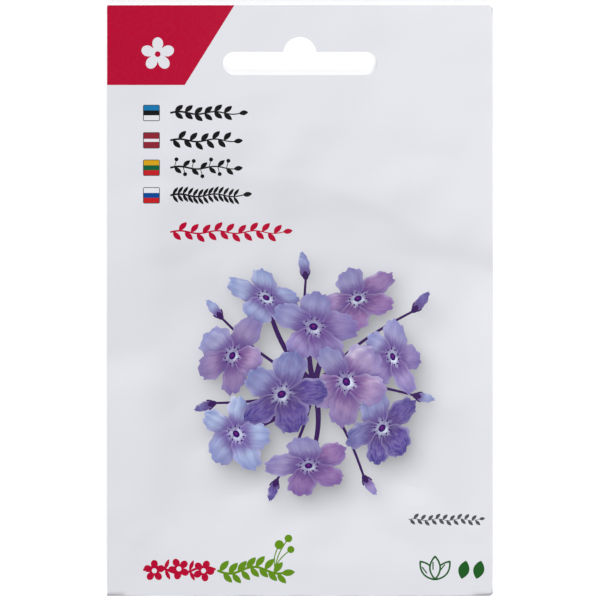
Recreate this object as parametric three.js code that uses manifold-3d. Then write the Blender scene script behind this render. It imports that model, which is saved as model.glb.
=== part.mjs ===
// A flat seed packet of coated paper lying on its back, with a hanging slot punched through its
// sealed header and a sealed inner sachet that holds fifty pelleted seeds. Millimetres, +X to the
// packet's right, +Y to its header, +Z up out of its printed front.
import * as THREE from "three";
import { mergeVertices } from "three/addons/utils/BufferGeometryUtils.js";
import Module from "manifold-3d";

const wasm = await Module();
wasm.setup();

// Packet outline
const packetWidth = 80;
const packetHeight = 122.5;
const foldCornerRadius = 0.8; // the two corners at the folded side are worn round
const wearSteps = 3;

// Paper, glue and the heights of the flat sealed rim
const paperThickness = 0.15;
const glueThickness = 0.05;
const rimBottom = 1.1; // underside of the rim above the table
const rimTop = rimBottom + 2 * paperThickness + glueThickness;
const rimMiddle = (rimBottom + rimTop) / 2;
const foldRadius = (rimTop - rimBottom) / 2; // outside of the fold along the right side
const foldCentre = packetWidth / 2 - foldRadius;

// The swollen pouch inside the seams
const sideSeamWidth = 5;
const bottomSeamWidth = 6;
const headerHeight = 25.25;
const swellDepth = 1.6; // how far each wall stands off the rim where the packet is fullest
const looseShare = 0.3; // share of that from air between the walls, the rest is from the contents
const pouchRoundness = 3; // exponent of the loose pillow's section, higher is boxier
const pouchLeft = -packetWidth / 2 + sideSeamWidth;
const pouchRight = foldCentre;
const pouchBottom = -packetHeight / 2 + bottomSeamWidth;
const pouchTop = packetHeight / 2 - headerHeight;
const pouchX = (pouchLeft + pouchRight) / 2;
const pouchY = (pouchBottom + pouchTop) / 2;
const pouchHalfWidth = (pouchRight - pouchLeft) / 2;
const pouchHalfHeight = (pouchTop - pouchBottom) / 2;

// The contents reach up to an arch under the header, with its crest left of the middle
const archX = -12.3;
const archY = 26.6;
const archFallLeft = 0.0141; // fall from the crest, per millimetre squared
const archFallRight = 0.0079;
const archSlope = 22; // width of the slope under the arch
const bottomSlope = 16;
const sideSlope = 16;

// Glue films in the rim
const glueInset = 0.8; // the glue stops short of the cut edges
const glueBreak = 0.3; // gap between one film and the next

// Cells of the folded sheet, finer in a band inside each seam, where the pouch begins to swell
const bandWidth = 6;
const bandCells = 3;
const cellsAcross = 16;
const cellsUp = 24;
const foldCells = 4;

// Hanging slot: a long slot with a round notch above its middle for a single peg
const slotLength = 32;
const slotWidth = 4.8;
const slotY = 49.2;
const notchRadius = 3.4;
const notchY = 51.3;
const arcSteps = 8;
const cutDepth = 4; // any punch is longer than the packet is thick

// Inner sachet of thin foil, welded flat round its edge
const foilThickness = 0.1;
const sachetWidth = 56;
const sachetHeight = 62;
const sachetY = -16;
const weldWidth = 5;
const sachetSettle = 0.3; // air between the sachet and the paper where they lie together
const sachetRise = 1; // top of the sachet above its weld
const sachetShoulder = 6; // width of the slope from the weld to the flat middle
const sachetCellsAcross = 12;
const sachetCellsUp = 14;

// Pelleted seeds
const seedCount = 50;
const seedRadius = 0.65;
const seedGap = 0.1; // clear of the foil under it
const seedPitch = 1.6; // least distance between two seeds' centres
const seedField = { left: -13.6, right: 18.2, bottom: -35, top: -14.5 };
const seedDraw = 20260417; // start of the random draw that scatters them
const seedSides = 8;
const seedRings = 6;

const paper = new THREE.MeshStandardMaterial({ color: 0xe2e3e8, roughness: 0.45, metalness: 0 });
const glue = new THREE.MeshStandardMaterial({ color: 0xe9e4d2, roughness: 0.35, metalness: 0 });
const foil = new THREE.MeshStandardMaterial({ color: 0xc9ccd0, roughness: 0.3, metalness: 0.9 });
const pellet = new THREE.MeshStandardMaterial({ color: 0xb79a74, roughness: 0.9, metalness: 0 });

// A closed geometry as a manifold solid, and a manifold solid as a geometry
function solidOf(geometry) {
  const bare = geometry.clone();
  bare.deleteAttribute("normal");
  bare.deleteAttribute("uv");
  const merged = mergeVertices(bare, 1e-4);
  const vertProperties = merged.attributes.position.array;
  const triVerts = new Uint32Array(merged.index.array);
  return new wasm.Manifold(new wasm.Mesh({ numProp: 3, vertProperties, triVerts }));
}

function geometryOf(solid) {
  const mesh = solid.getMesh();
  const geometry = new THREE.BufferGeometry();
  geometry.setAttribute("position", new THREE.BufferAttribute(mesh.vertProperties, 3));
  geometry.setIndex(new THREE.BufferAttribute(mesh.triVerts, 1));
  geometry.computeVertexNormals();
  return geometry;
}

function addPiece(group, name, geometry, material) {
  const mesh = new THREE.Mesh(geometry, material);
  mesh.name = name;
  group.add(mesh);
  return mesh;
}

// Smooth step from 0 at no distance inside an edge to 1 at the width of its slope
const rise = (inside, slope) => THREE.MathUtils.smoothstep(inside, 0, slope);

// Height of the arch that the contents reach up to
function archTop(x) {
  const fall = x < archX ? archFallLeft : archFallRight;
  return archY - fall * (x - archX) ** 2;
}

// How full the pouch is at a point, from 0 on its seams to 1: a loose pillow between the seams, and
// a flat-topped mound over the contents that slopes down to the arch, the sides and the bottom
function fullness(x, y) {
  const u = Math.min(1, Math.abs((x - pouchX) / pouchHalfWidth));
  const v = Math.min(1, Math.abs((y - pouchY) / pouchHalfHeight));
  const loose = (1 - u ** pouchRoundness) * (1 - v ** pouchRoundness);
  const sides = rise(x - pouchLeft, sideSlope) * rise(pouchRight - x, sideSlope);
  const ends = rise(y - pouchBottom, bottomSlope) * rise(archTop(x) - y, archSlope);
  return looseShare * loose + (1 - looseShare) * sides * ends;
}

// Outer faces of the two walls: the front swells, the back is pressed flat where the table stops it
const frontHeight = (x, y) => rimTop + swellDepth * fullness(x, y);
const backHeight = (x, y) => Math.max(0, rimBottom - swellDepth * fullness(x, y));

// Evenly spaced lines from start to end, both included
function spaced(start, end, steps) {
  return Array.from({ length: steps + 1 }, (_, i) => start + ((end - start) * i) / steps);
}

// A thin sheet as a closed box of cells. place(column, row, face) gives the point, where the columns
// and rows are those of the two lists of lines and face is 1 on top and 0 underneath.
function sheetGeometry(columns, rows, place) {
  const cellsX = columns.length - 1;
  const cellsY = rows.length - 1;
  const geometry = new THREE.BoxGeometry(1, 1, 1, cellsX, cellsY, 1);
  const position = geometry.attributes.position;
  const point = new THREE.Vector3();
  for (let i = 0; i < position.count; i++) {
    point.fromBufferAttribute(position, i);
    const column = columns[Math.round((point.x + 0.5) * cellsX)];
    const row = rows[Math.round((point.y + 0.5) * cellsY)];
    point.copy(place(column, row, point.z > 0 ? 1 : 0));
    position.setXYZ(i, point.x, point.y, point.z);
  }
  return geometry;
}

// The printed blank is one sheet. A column below -1 is on the front wall, above 1 on the back wall,
// and between them it turns round the fold along the packet's right side.
function foldedBlank(column, y, outside) {
  const beyondFold = Math.abs(column) - 1;
  if (beyondFold <= 0) {
    const radius = outside ? foldRadius : foldRadius - paperThickness;
    const angle = (-column * Math.PI) / 2;
    const x = foldCentre + radius * Math.cos(angle);
    return new THREE.Vector3(x, y, rimMiddle + radius * Math.sin(angle));
  }
  const x = foldCentre - beyondFold;
  const inward = outside ? 0 : paperThickness;
  const z = column < 0 ? frontHeight(x, y) - inward : backHeight(x, y) + inward;
  return new THREE.Vector3(x, y, z);
}

// Lines from start to end with a band of finer cells inside each end
function bandedLines(start, end, cells) {
  return [
    ...spaced(start, start + bandWidth, bandCells),
    ...spaced(start + bandWidth, end - bandWidth, cells).slice(1),
    ...spaced(end - bandWidth, end, bandCells).slice(1),
  ];
}

function blankColumns() {
  const foldToEdge = foldCentre + packetWidth / 2;
  const wall = [...bandedLines(1, 1 + foldToEdge - sideSeamWidth, cellsAcross), 1 + foldToEdge];
  const back = wall.slice(1);
  const front = back.map((column) => -column).reverse();
  return [...front, ...spaced(-1, 1, foldCells), ...back];
}

function blankRows() {
  const edge = packetHeight / 2;
  return [-edge, ...bandedLines(pouchBottom, pouchTop, cellsUp), edge];
}

// An outline made a solid that reaches through both walls of the rim
function cutter(outline, curveSegments) {
  const bar = new THREE.ExtrudeGeometry(outline, { depth: cutDepth, bevelEnabled: false, curveSegments });
  return solidOf(bar.translate(0, 0, rimMiddle - cutDepth / 2));
}

// The punch for the hanging slot, in a long slot's outline with the notch on top
function slotPunch() {
  const half = slotLength / 2 - slotWidth / 2;
  const top = slotY + slotWidth / 2;
  const notchHalf = Math.sqrt(notchRadius ** 2 - (top - notchY) ** 2);
  const notchStart = Math.atan2(top - notchY, notchHalf);
  const outline = new THREE.Shape();
  outline.moveTo(-half, slotY - slotWidth / 2);
  outline.lineTo(half, slotY - slotWidth / 2);
  outline.absarc(half, slotY, slotWidth / 2, -Math.PI / 2, Math.PI / 2, false);
  outline.lineTo(notchHalf, top);
  outline.absarc(0, notchY, notchRadius, notchStart, Math.PI - notchStart, false);
  outline.lineTo(-half, top);
  outline.absarc(-half, slotY, slotWidth / 2, Math.PI / 2, (3 * Math.PI) / 2, false);
  return cutter(outline, arcSteps);
}

// What wear has taken off the square upper corner at the fold: all that lies outside a round
function cornerWear() {
  const x = packetWidth / 2 - foldCornerRadius;
  const y = packetHeight / 2 - foldCornerRadius;
  const beyond = 2 * foldCornerRadius;
  const outline = new THREE.Shape();
  outline.moveTo(x, y + beyond);
  outline.lineTo(x, y + foldCornerRadius);
  outline.absarc(x, y, foldCornerRadius, Math.PI / 2, 0, true);
  outline.lineTo(x + beyond, y);
  outline.lineTo(x + beyond, y + beyond);
  return cutter(outline, wearSteps);
}

function wrapperGeometry() {
  const blank = solidOf(sheetGeometry(blankColumns(), blankRows(), foldedBlank));
  const upperWear = cornerWear();
  const lowerWear = upperWear.mirror([0, 1, 0]);
  return geometryOf(blank.subtract(slotPunch()).subtract(upperWear).subtract(lowerWear));
}

// A flat film of glue between the two walls of the rim
function glueFilm(left, right, bottom, top) {
  const film = new THREE.BoxGeometry(right - left, top - bottom, glueThickness);
  return film.translate((left + right) / 2, (bottom + top) / 2, rimMiddle);
}

// How full the sachet is, from 0 on its weld to 1 over its flat middle
function sachetFullness(x, y) {
  const inX = sachetWidth / 2 - weldWidth - Math.abs(x - pouchX);
  const inY = sachetHeight / 2 - weldWidth - Math.abs(y - sachetY);
  return rise(inX, sachetShoulder) * rise(inY, sachetShoulder);
}

// Inner faces of the sachet's two foils
const innerRise = sachetRise - foilThickness;
const innerDrop = rimMiddle - paperThickness - sachetSettle - foilThickness;
const sachetCeiling = (x, y) => rimMiddle + innerRise * sachetFullness(x, y);
const sachetFloor = (x, y) => rimMiddle - innerDrop * sachetFullness(x, y);

function sachetFoil(innerFace, away) {
  const left = pouchX - sachetWidth / 2;
  const bottom = sachetY - sachetHeight / 2;
  const lines = (start, size, cells) => [
    start,
    ...spaced(start + weldWidth, start + size - weldWidth, cells),
    start + size,
  ];
  const columns = lines(left, sachetWidth, sachetCellsAcross);
  const rows = lines(bottom, sachetHeight, sachetCellsUp);
  return sheetGeometry(columns, rows, (x, y, upper) => {
    const outward = away > 0 ? upper : 1 - upper;
    return new THREE.Vector3(x, y, innerFace(x, y) + away * outward * foilThickness);
  });
}

// Repeatable random numbers from 0 to 1, by a multiply-and-add rule
function randomDraw(seed) {
  let state = seed >>> 0;
  return () => {
    state = (Math.imul(state, 1664525) + 1013904223) >>> 0;
    return state / 2 ** 32;
  };
}

// Seeds scattered one layer deep, none closer to another than the seed pitch
function scatteredSeeds() {
  const draw = randomDraw(seedDraw);
  const places = [];
  while (places.length < seedCount) {
    const x = THREE.MathUtils.lerp(seedField.left, seedField.right, draw());
    const y = THREE.MathUtils.lerp(seedField.bottom, seedField.top, draw());
    const clear = places.every((other) => Math.hypot(other.x - x, other.y - y) >= seedPitch);
    if (clear) places.push({ x, y });
  }
  return places;
}

const packet = new THREE.Group();
addPiece(packet, "wrapper", wrapperGeometry(), paper);

const glueLeft = -packetWidth / 2 + glueInset;
const glueRight = foldCentre - glueInset;
const glueBottom = -packetHeight / 2 + glueInset;
const glueTop = packetHeight / 2 - glueInset;
const sideGlue = glueFilm(glueLeft, pouchLeft - glueBreak, glueBottom, pouchTop - glueBreak);
const bottomGlue = glueFilm(pouchLeft, glueRight, glueBottom, pouchBottom - glueBreak);
const headerGlue = solidOf(glueFilm(glueLeft, glueRight, pouchTop, glueTop)).subtract(slotPunch());
addPiece(packet, "side_seam_glue", sideGlue, glue);
addPiece(packet, "bottom_seam_glue", bottomGlue, glue);
addPiece(packet, "header_glue", geometryOf(headerGlue), glue);

addPiece(packet, "sachet_front", sachetFoil(sachetCeiling, 1), foil);
addPiece(packet, "sachet_back", sachetFoil(sachetFloor, -1), foil);

const seedBall = new THREE.SphereGeometry(seedRadius, seedSides, seedRings);
scatteredSeeds().forEach(({ x, y }, index) => {
  const seed = addPiece(packet, `seed_${String(index + 1).padStart(2, "0")}`, seedBall, pellet);
  seed.position.set(x, y, sachetFloor(x, y) + seedGap + seedRadius);
});

export default packet;
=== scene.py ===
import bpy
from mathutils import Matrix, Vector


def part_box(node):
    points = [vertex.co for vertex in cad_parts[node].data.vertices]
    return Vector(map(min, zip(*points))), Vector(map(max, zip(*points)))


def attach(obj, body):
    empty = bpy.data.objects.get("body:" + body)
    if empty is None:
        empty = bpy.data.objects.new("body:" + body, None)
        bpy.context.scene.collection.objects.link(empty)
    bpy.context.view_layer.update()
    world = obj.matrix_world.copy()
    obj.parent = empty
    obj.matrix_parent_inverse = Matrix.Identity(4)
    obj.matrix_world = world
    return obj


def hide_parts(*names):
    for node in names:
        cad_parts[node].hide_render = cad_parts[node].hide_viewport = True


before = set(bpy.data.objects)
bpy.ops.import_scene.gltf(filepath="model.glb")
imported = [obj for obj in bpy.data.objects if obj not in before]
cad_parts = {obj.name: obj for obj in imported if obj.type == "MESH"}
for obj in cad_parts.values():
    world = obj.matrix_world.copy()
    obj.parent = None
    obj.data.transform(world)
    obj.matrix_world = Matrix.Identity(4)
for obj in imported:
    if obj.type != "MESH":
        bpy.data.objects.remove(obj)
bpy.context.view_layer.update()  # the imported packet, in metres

import bpy
import numpy as np
from mathutils import Vector
from mathutils.geometry import delaunay_2d_cdt

mm = 0.001  # the drawing is in millimetres, the scene in metres


def rgb(red, green, blue):  # a print colour from 0 to 255, as the linear colour that shaders use
    value = np.array([red, green, blue]) / 255
    linear = np.where(value <= 0.04045, value / 12.92, ((value + 0.055) / 1.055) ** 2.4)
    return np.append(linear, 1.0)


def smooth(inside, width):  # 0 outside an edge, 1 past the width, 3q² - 2q³ between
    q = np.clip(inside / width, 0, 1)
    return q * q * (3 - 2 * q)


def between(at, start, end, rise, fall):  # 0 outside two edges, rising and falling softly inside
    return smooth(at - start, rise) * smooth(end - at, fall)


def bell(off, width):  # exp(-(off / width)²)
    return np.exp(-((off / width) ** 2))


def waves(x, y, length, seed, count=7):  # sum of sines in drawn directions over the count's root
    draw = np.random.default_rng(seed)
    total = np.zeros(np.shape(x))
    for turn, start, stretch in draw.uniform([0, 0, 0.75], [np.pi, 2 * np.pi, 1.35], (count, 3)):
        along = x * np.cos(turn) + y * np.sin(turn)
        total += np.sin(2 * np.pi * along / (length * stretch) + start)
    return total / np.sqrt(count)


def rippled(x, y, rows, start=0.0):  # the start plus waves by rows of height, length and seed
    return sum((height * waves(x, y, length, seed) for height, length, seed in rows), start)


def boxOf(node):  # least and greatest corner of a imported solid, in millimetres
    return np.array([list(corner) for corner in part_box(node)]) / mm


def addObject(name, data):
    made = bpy.data.objects.new(name, data)
    bpy.context.scene.collection.objects.link(made)
    return made


def addMesh(name, points, faces, materials):  # points in millimetres, faces as lists of indices
    mesh = bpy.data.meshes.new(name)
    mesh.from_pydata((np.asarray(points) * mm).tolist(), [], faces)
    mesh.polygons.foreach_set("use_smooth", np.ones(len(mesh.polygons), dtype=bool))
    for material in materials:
        mesh.materials.append(material)
    return addObject(name, mesh)


# Sizes of the wrapper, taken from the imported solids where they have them

halfWidth, halfHeight = boxOf("wrapper")[1, :2]
glueUnder, glueOver = boxOf("header_glue")[:, 2]
rimMiddle = (glueUnder + glueOver) / 2
halfGlue = (glueOver - glueUnder) / 2

paper = {
    "thickness": 0.15,
    "sideSeam": 5.0,
    "bottomSeam": 6.0,
    "header": 25.25,
    "foldCorner": 0.8,
    "foldDip": 1.6,  # how many times deeper the cut edge dips in the middle of the fold
    "showThrough": 0.035,
    "slipUp": -0.12,  # how far the back wall's slot sits off the front wall's
}
slot = {"length": 32.0, "width": 4.8, "y": 49.2, "notchRadius": 3.4, "notchY": 51.3}
swell = {
    "depth": 1.6, "loose": 0.3, "roundness": 3,
    "archX": -12.3, "archY": 26.6, "fallLeft": 0.0141, "fallRight": 0.0079,
    "archSlope": 33.0, "bottomSlope": 30.0, "sideSlope": 16.0,
}
relief = {
    # rows of waves: height, length, seed
    "rimWaves": [(0.07, 46.0, 5), (0.05, 24.0, 9), (0.022, 11.0, 14)],  # shared by both glued walls
    "sheetWaves": [(0.08, 26.0, 9), (0.05, 12.0, 14)],  # of the loose front sheet
    "softFolds": [(0.14, 34.0, 23), (0.10, 19.0, 31)],  # with a soft ridge line
    "foldLevel": 0.6,
    "foldSoftness": 0.02,
    "calm": (10.0, 10.0, 10.0, 9.0),  # calm bands at the pouch's left, right, bottom and top
    "crest": 0.07,  # how far the front may rise above the mound's own height
    "softness": (0.02, 0.08, 0.1),  # of the front's lowest and highest lie, and of the back's lowest
    "shoulder": 0.2,  # share of the mound that rises at once, just under the header's arch
    "shoulderWidth": 12.0,
    "sideSlope": 27.0,  # the paper bridges the hollow beside the contents
    # soft creases: from x, y to x, y, height (less than 0 for a trough), half width on either side
    "creases": [
        (46.0, 3.9, 6.0, 11.0, 1.0, 4.8, 13.0),
        (-46.0, -11.0, 2.0, -7.0, 0.5, 6.0, 13.0),
        (-35.0, 20.0, -19.0, 25.5, -0.07, 2.2, 2.2),
        (38.0, -49.0, 28.0, -44.5, -0.10, 1.8, 1.8),
        (-36.0, -50.0, -27.0, -45.0, -0.09, 1.8, 1.8),
    ],
    "creaseStart": -0.05,  # shares of its run where a crease starts and over which it grows
    "creaseGrowth": 0.2,
    # shallow dents: middle x, y, depth (less than 0 stands proud), radius
    "dents": [(33.0, -14.0, 0.12, 8.0), (8.0, -49.0, 0.14, 8.0), (-27.0, -32.0, -0.2, 9.0),
              (8.0, 3.0, -0.45, 11.0), (3.0, 15.5, 0.08, 6.0), (14.0, 15.0, 0.08, 6.0),
              (-15.0, 6.0, -0.13, 7.0), (25.0, 5.5, -0.12, 7.0)],
    # open lips of the bottom edge, beyond the glue: from x to x, lift
    "lips": [(35.0, 39.8, 0.2), (-41.0, -35.4, 0.2)],
    "lipEnds": (2.2, 1.6),
    "lipDepth": 0.9,
    # how far the front's printed face stops short of the cut along the bottom edge, baring the slanted cut
    # face whose painted shade shows as a thin dark line: a width all along, its waves, and changes at
    # places (middle x, reach, change)
    "slant": 0.15,
    "slantWaves": [(0.3, 9.0, 3)],
    "slantEnds": [(-39.6, 3.6, 0.34), (-28.0, 5.0, -0.15), (38.8, 3.0, 0.32), (40.4, 1.2, 0.3)],
    "slantPull": 1.6,  # how far up the printed face is drawn out for it
}

rimHalf = paper["thickness"] + halfGlue
foldRadius = rimHalf
foldCentre = halfWidth - foldRadius
foldLength = np.pi * foldRadius
backShift = 2 * foldCentre + foldLength  # where the back wall's middle lies on the flat blank
pouchLeft = -halfWidth + paper["sideSeam"]
pouchRight = foldCentre
pouchBottom = -halfHeight + paper["bottomSeam"]
pouchTop = halfHeight - paper["header"]


def fullness(x, y, sharp=0.0, sideSlope=swell["sideSlope"]):
    # A loose pillow between the seams, and a mound that slopes to arch and seams. sharp is the
    # share of the arch's slope that goes by 1 - (1 - q)², which starts with a crease.
    u = np.clip(np.abs(2 * x - pouchLeft - pouchRight) / (pouchRight - pouchLeft), 0, 1)
    v = np.clip(np.abs(2 * y - pouchBottom - pouchTop) / (pouchTop - pouchBottom), 0, 1)
    pillow = (1 - u ** swell["roundness"]) * (1 - v ** swell["roundness"])
    fall = np.where(x < swell["archX"], swell["fallLeft"], swell["fallRight"])
    arch = swell["archY"] - fall * (x - swell["archX"]) ** 2
    sides = between(x, pouchLeft, pouchRight, sideSlope, sideSlope)
    q = np.clip((arch - y) / relief["shoulderWidth"], 0, 1)
    shoulder = (1 - sharp) * smooth(arch - y, swell["archSlope"]) + sharp * (1 - (1 - q) ** 2)
    ends = smooth(y - pouchBottom, swell["bottomSlope"]) * shoulder
    return swell["loose"] * pillow + (1 - swell["loose"]) * sides * ends


def softly(height, width):  # the height where above 0, rounded off near 0: (h + √(h² + width²)) / 2
    return (height + np.sqrt(height**2 + width**2)) / 2


def creaseHeight(x, y):  # bell-shaped troughs and ridges along lines, fading towards their far ends
    height = 0 * x
    for x0, y0, x1, y1, rise, right, left in relief["creases"]:
        run = np.array([x1 - x0, y1 - y0])
        along = ((x - x0) * run[0] + (y - y0) * run[1]) / run.dot(run)
        off = ((x - x0) * run[1] - (y - y0) * run[0]) / np.hypot(*run)
        grown = between(along, relief["creaseStart"], 1, relief["creaseGrowth"], 1)
        height = height + rise * bell(off, np.where(off > 0, right, left)) * grown
    return height


def middleHeight(x, y):  # the rim's middle, its waves and creases dying out over the contents
    sway = rippled(x, y, relief["rimWaves"], creaseHeight(x, y))
    return rimMiddle + sway * (1 - fullness(x, y)) ** 2


def frontDetail(x, y):  # quick waves, soft folds, dents, the rest of each crease, and each open lip
    left, right, bottom, top = relief["calm"]
    loose = between(x, pouchLeft, pouchRight, left, right) * between(y, pouchBottom, pouchTop, bottom, top)
    detail = rippled(x, y, relief["sheetWaves"]) * loose
    for height, length, seed in relief["softFolds"]:  # ridges lie where the waves cross zero
        ridge = np.sqrt(waves(x, y, length, seed) ** 2 + relief["foldSoftness"])
        detail = detail + height * (relief["foldLevel"] - ridge) * loose
    for x0, y0, depth, radius in relief["dents"]:
        detail = detail - depth * bell(np.hypot(x - x0, y - y0), radius) * loose
    detail = detail + creaseHeight(x, y) * (1 - (1 - fullness(x, y)) ** 2)
    for x0, x1, lift in relief["lips"]:
        lip = lift * between(x, x0, x1, *relief["lipEnds"])
        detail += lip * smooth(-halfHeight + relief["lipDepth"] - y, relief["lipDepth"])
    return detail


def frontHeight(x, y):  # never lower than the back wall lets it lie, nor higher than the crest
    lowest, highest, _ = relief["softness"]
    rise = swell["depth"] * fullness(x, y, relief["shoulder"], relief["sideSlope"]) + frontDetail(x, y)
    top = swell["depth"] + relief["crest"]
    return middleHeight(x, y) + rimHalf + top - softly(top - softly(rise, lowest), highest)


def backHeight(x, y):  # sags as far as the front swells, until the table presses it flat
    free = middleHeight(x, y) - rimHalf - swell["depth"] * fullness(x, y)
    return softly(free, relief["softness"][2])


def cutSlant(x):  # slanted cut of the front's lower edge: a width plus bell-shaped changes
    width = relief["slant"] * (1 + rippled(x, 0 * x, relief["slantWaves"]))
    for middle, reach, change in relief["slantEnds"]:
        width = width + change * bell(x - middle, reach)
    return np.maximum(width, 0)


def foldBlank(flat, depth):
    # Carries points of the flat blank, seen from its printed side, to the folded packet: front
    # wall up to the fold's centre, half a turn round the fold, then the back wall. depth is the
    # distance under the printed face.
    across, up = flat[:, 0], flat[:, 1]
    if depth == 0:
        short = cutSlant(across) * np.clip(1 - (up + halfHeight) / relief["slantPull"], 0, 1)
        up = up + short * (across < foldCentre + foldRadius)
    turn = np.clip((across - foldCentre) / foldRadius, 0, np.pi)
    onBack = across > foldCentre + foldLength
    x = np.where(onBack, backShift - across, np.minimum(across, foldCentre))
    height = np.where(onBack, backHeight(x, up) + depth, frontHeight(x, up) - depth)
    inFold = (turn > 0) & (turn < np.pi)
    lift = middleHeight(x, up)
    x = x + np.where(inFold, (foldRadius - depth) * np.sin(turn), 0)
    height = np.where(inFold, lift + (foldRadius - depth) * np.cos(turn), height)
    return np.column_stack([x, up, height])


# Outlines: closed shapes as rows of corners in millimetres, and what helps to draw them

def aim(angle):  # the direction at an angle in degrees
    return np.array([np.cos(np.radians(angle)), np.sin(np.radians(angle))])


def spin(angle):  # the matrix that turns rows of points by an angle in degrees
    c, s = aim(angle)
    return np.array([[c, s], [-s, c]])


def arc(x, y, radius, turn):  # points round a middle, at angles in radians
    return np.column_stack([x + radius * np.cos(turn), y + radius * np.sin(turn)])


def disc(x, y, radius, count=20):
    return arc(x, y, radius, np.linspace(0, 2 * np.pi, count, endpoint=False))


def block(x0, y0, x1, y1, corner=0.0):  # a rectangle, its corners rounded by quarter circles
    if corner == 0:
        return np.array([[x0, y0], [x1, y0], [x1, y1], [x0, y1]])
    quarter = arc(0, 0, corner, np.linspace(0, np.pi / 2, 4))
    mids = [(x1 - corner, y1 - corner), (x0 + corner, y1 - corner),
            (x0 + corner, y0 + corner), (x1 - corner, y0 + corner)]
    spins = [np.array([[c, s], [-s, c]]) for c, s in [(1, 0), (0, 1), (-1, 0), (0, -1)]]
    return np.vstack([np.add(mid, quarter @ quarterTurn) for mid, quarterTurn in zip(mids, spins)])


def rosette(x, y, radius, petals=5, waist=0.42, turn=90.0, count=60):
    # radius times (waist + (1 - waist) |cos(petals a / 2)|^0.7), round the middle
    a = np.linspace(0, 2 * np.pi, count, endpoint=False)
    r = radius * (waist + (1 - waist) * np.abs(np.cos(petals * a / 2)) ** 0.7)
    return arc(x, y, r, a + np.radians(turn))


def lens(s, rib, half):  # out along one edge and back along the other, half a width off the rib
    return np.concatenate([s, s[-2:0:-1]]), np.concatenate([rib + half, (rib - half)[-2:0:-1]])


def leaf(x, y, angle, length, width, bend=0.0, count=9):
    # a lens along its angle, half width (width / 2) sin(pi s)^0.8, its midrib bent sideways by s²
    s = np.linspace(0, 1, count)
    half = width / 2 * np.sin(np.pi * s) ** 0.8
    along, side = lens(s, bend * length * s**2, half)
    along = length * along
    c, n = aim(angle)
    return np.column_stack([x + along * c - side * n, y + along * n + side * c])[::-1]


def stepped(outline, step):  # the same outline with a corner at least every step along it
    far = np.roll(outline, -1, axis=0) - outline
    parts = np.maximum(np.ceil(np.hypot(far[:, 0], far[:, 1]) / step).astype(int), 1)
    start = np.repeat(np.arange(len(outline)), parts)
    share = (np.arange(len(start)) - np.repeat(np.cumsum(parts) - parts, parts)) / parts[start]
    return outline[start] + far[start] * share[:, None]


def turnedLeft(outline):  # corners in counterclockwise order, told by the sign of the area
    x, y = outline.T
    return outline if x.dot(np.roll(y, -1)) > y.dot(np.roll(x, -1)) else outline[::-1]


def ribbon(path, width):  # a band along a path, its width given at each point
    path = np.asarray(path, float)
    along = np.gradient(path, axis=0)
    along /= np.hypot(along[:, 0], along[:, 1])[:, None]
    half = np.broadcast_to(width, len(path))[:, None] / 2
    side = np.column_stack([-along[:, 1], along[:, 0]]) * half
    return np.vstack([path - side, (path + side)[::-1]])


# The print: closed shapes in stacking order, each with its ink and colour

inks = {
    "bare": rgb(255, 255, 255),  # paper left unprinted inside a printed shape
    "crimson": rgb(172, 0, 46), "lilac": rgb(149, 122, 179), "leaf": rgb(92, 133, 20),
    "darkGreen": rgb(27, 84, 30), "blue": rgb(15, 111, 164), "flagBlue": rgb(0, 66, 137),
    "darkRed": rgb(132, 32, 46), "red": rgb(183, 25, 30), "yellow": rgb(203, 152, 15),
    "green": rgb(4, 90, 54), "black": rgb(14, 13, 15), "frame": rgb(58, 56, 60),
    "grey": rgb(74, 74, 80), "hairline": rgb(139, 141, 149), "stem": rgb(54, 27, 84),
    "throat": rgb(50, 15, 95), "spot": rgb(111, 25, 111),
}
prints = []


def ink(outline, colour, onBack=False):
    shift = (backShift, 0) if onBack else (0, 0)
    kind = "bare" if colour == "bare" else "flat"
    prints.append({"outline": outline + shift, "ink": kind, "colour": inks[colour]})


# kinds of sprig: leaf step, slant, leaf length and width, with lengths as shares of the height
sprigKinds = {
    "pairs": (0.52, 48, 0.56, 0.27),
    "turns": (0.3, 55, 0.58, 0.28),
    "berries": (0.46, 50, 0.5, 0.24),
    "ferns": (0.27, 62, 0.5, 0.17),
}
# the same in every sprig: shares of its height, but for a leaf's bend, a share of its length, and
# the width of a berry's stalk
sprigForm = {
    "sway": 0.07, "wave": 1.9, "stalkShort": 0.35, "leavesShort": 0.5, "tip": (0.5, 0.26),
    "berryOut": 0.4, "berryAhead": 0.1, "berry": 0.11, "bend": 0.12, "berryStalk": 0.16,
}


def sprig(x0, x1, y, height, colour, kind, stem, onBack=False):
    # a wavy stalk from x0 to x1 with leaves by turns or in pairs along it, and a leaf at its tip
    step, slant, length, width = np.multiply(sprigKinds[kind], (height, 1, height, height))
    form = sprigForm
    sway = lambda at: y + form["sway"] * height * np.sin(2 * np.pi * (at - x0) / (form["wave"] * height))
    lay = lambda outline: ink(outline, colour, onBack)
    x = np.linspace(x0, x1 - form["stalkShort"] * height, 40)
    lay(ribbon(np.column_stack([x, sway(x)]), stem * (1 - 0.5 * (x - x0) / (x1 - x0))))
    for i in range(int((x1 - x0 - form["leavesShort"] * height) / step)):
        at = x0 + step * (i + 0.5)
        sides = (1, -1) if kind in ("pairs", "ferns") else ((1,) if i % 2 else (-1,))
        for side in sides:
            lay(leaf(at, sway(at), slant * side, length, width, -form["bend"] * side))
            if kind == "berries":
                far = form["berryOut"] * height
                tip = (at + form["berryAhead"] * height, sway(at) - side * far)
                bow = ((at + tip[0]) / 2, sway(at) - side * far / 2)
                lay(ribbon([(at, sway(at)), bow, tip], form["berryStalk"]))
                lay(disc(*tip, form["berry"] * height, 12))
    lay(leaf(x[-1] - 0.1, sway(x[-1]), 8, *np.multiply(form["tip"], height)))


# Header tag with its blossom sign, printed past the cut edge by the bleed

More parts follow.
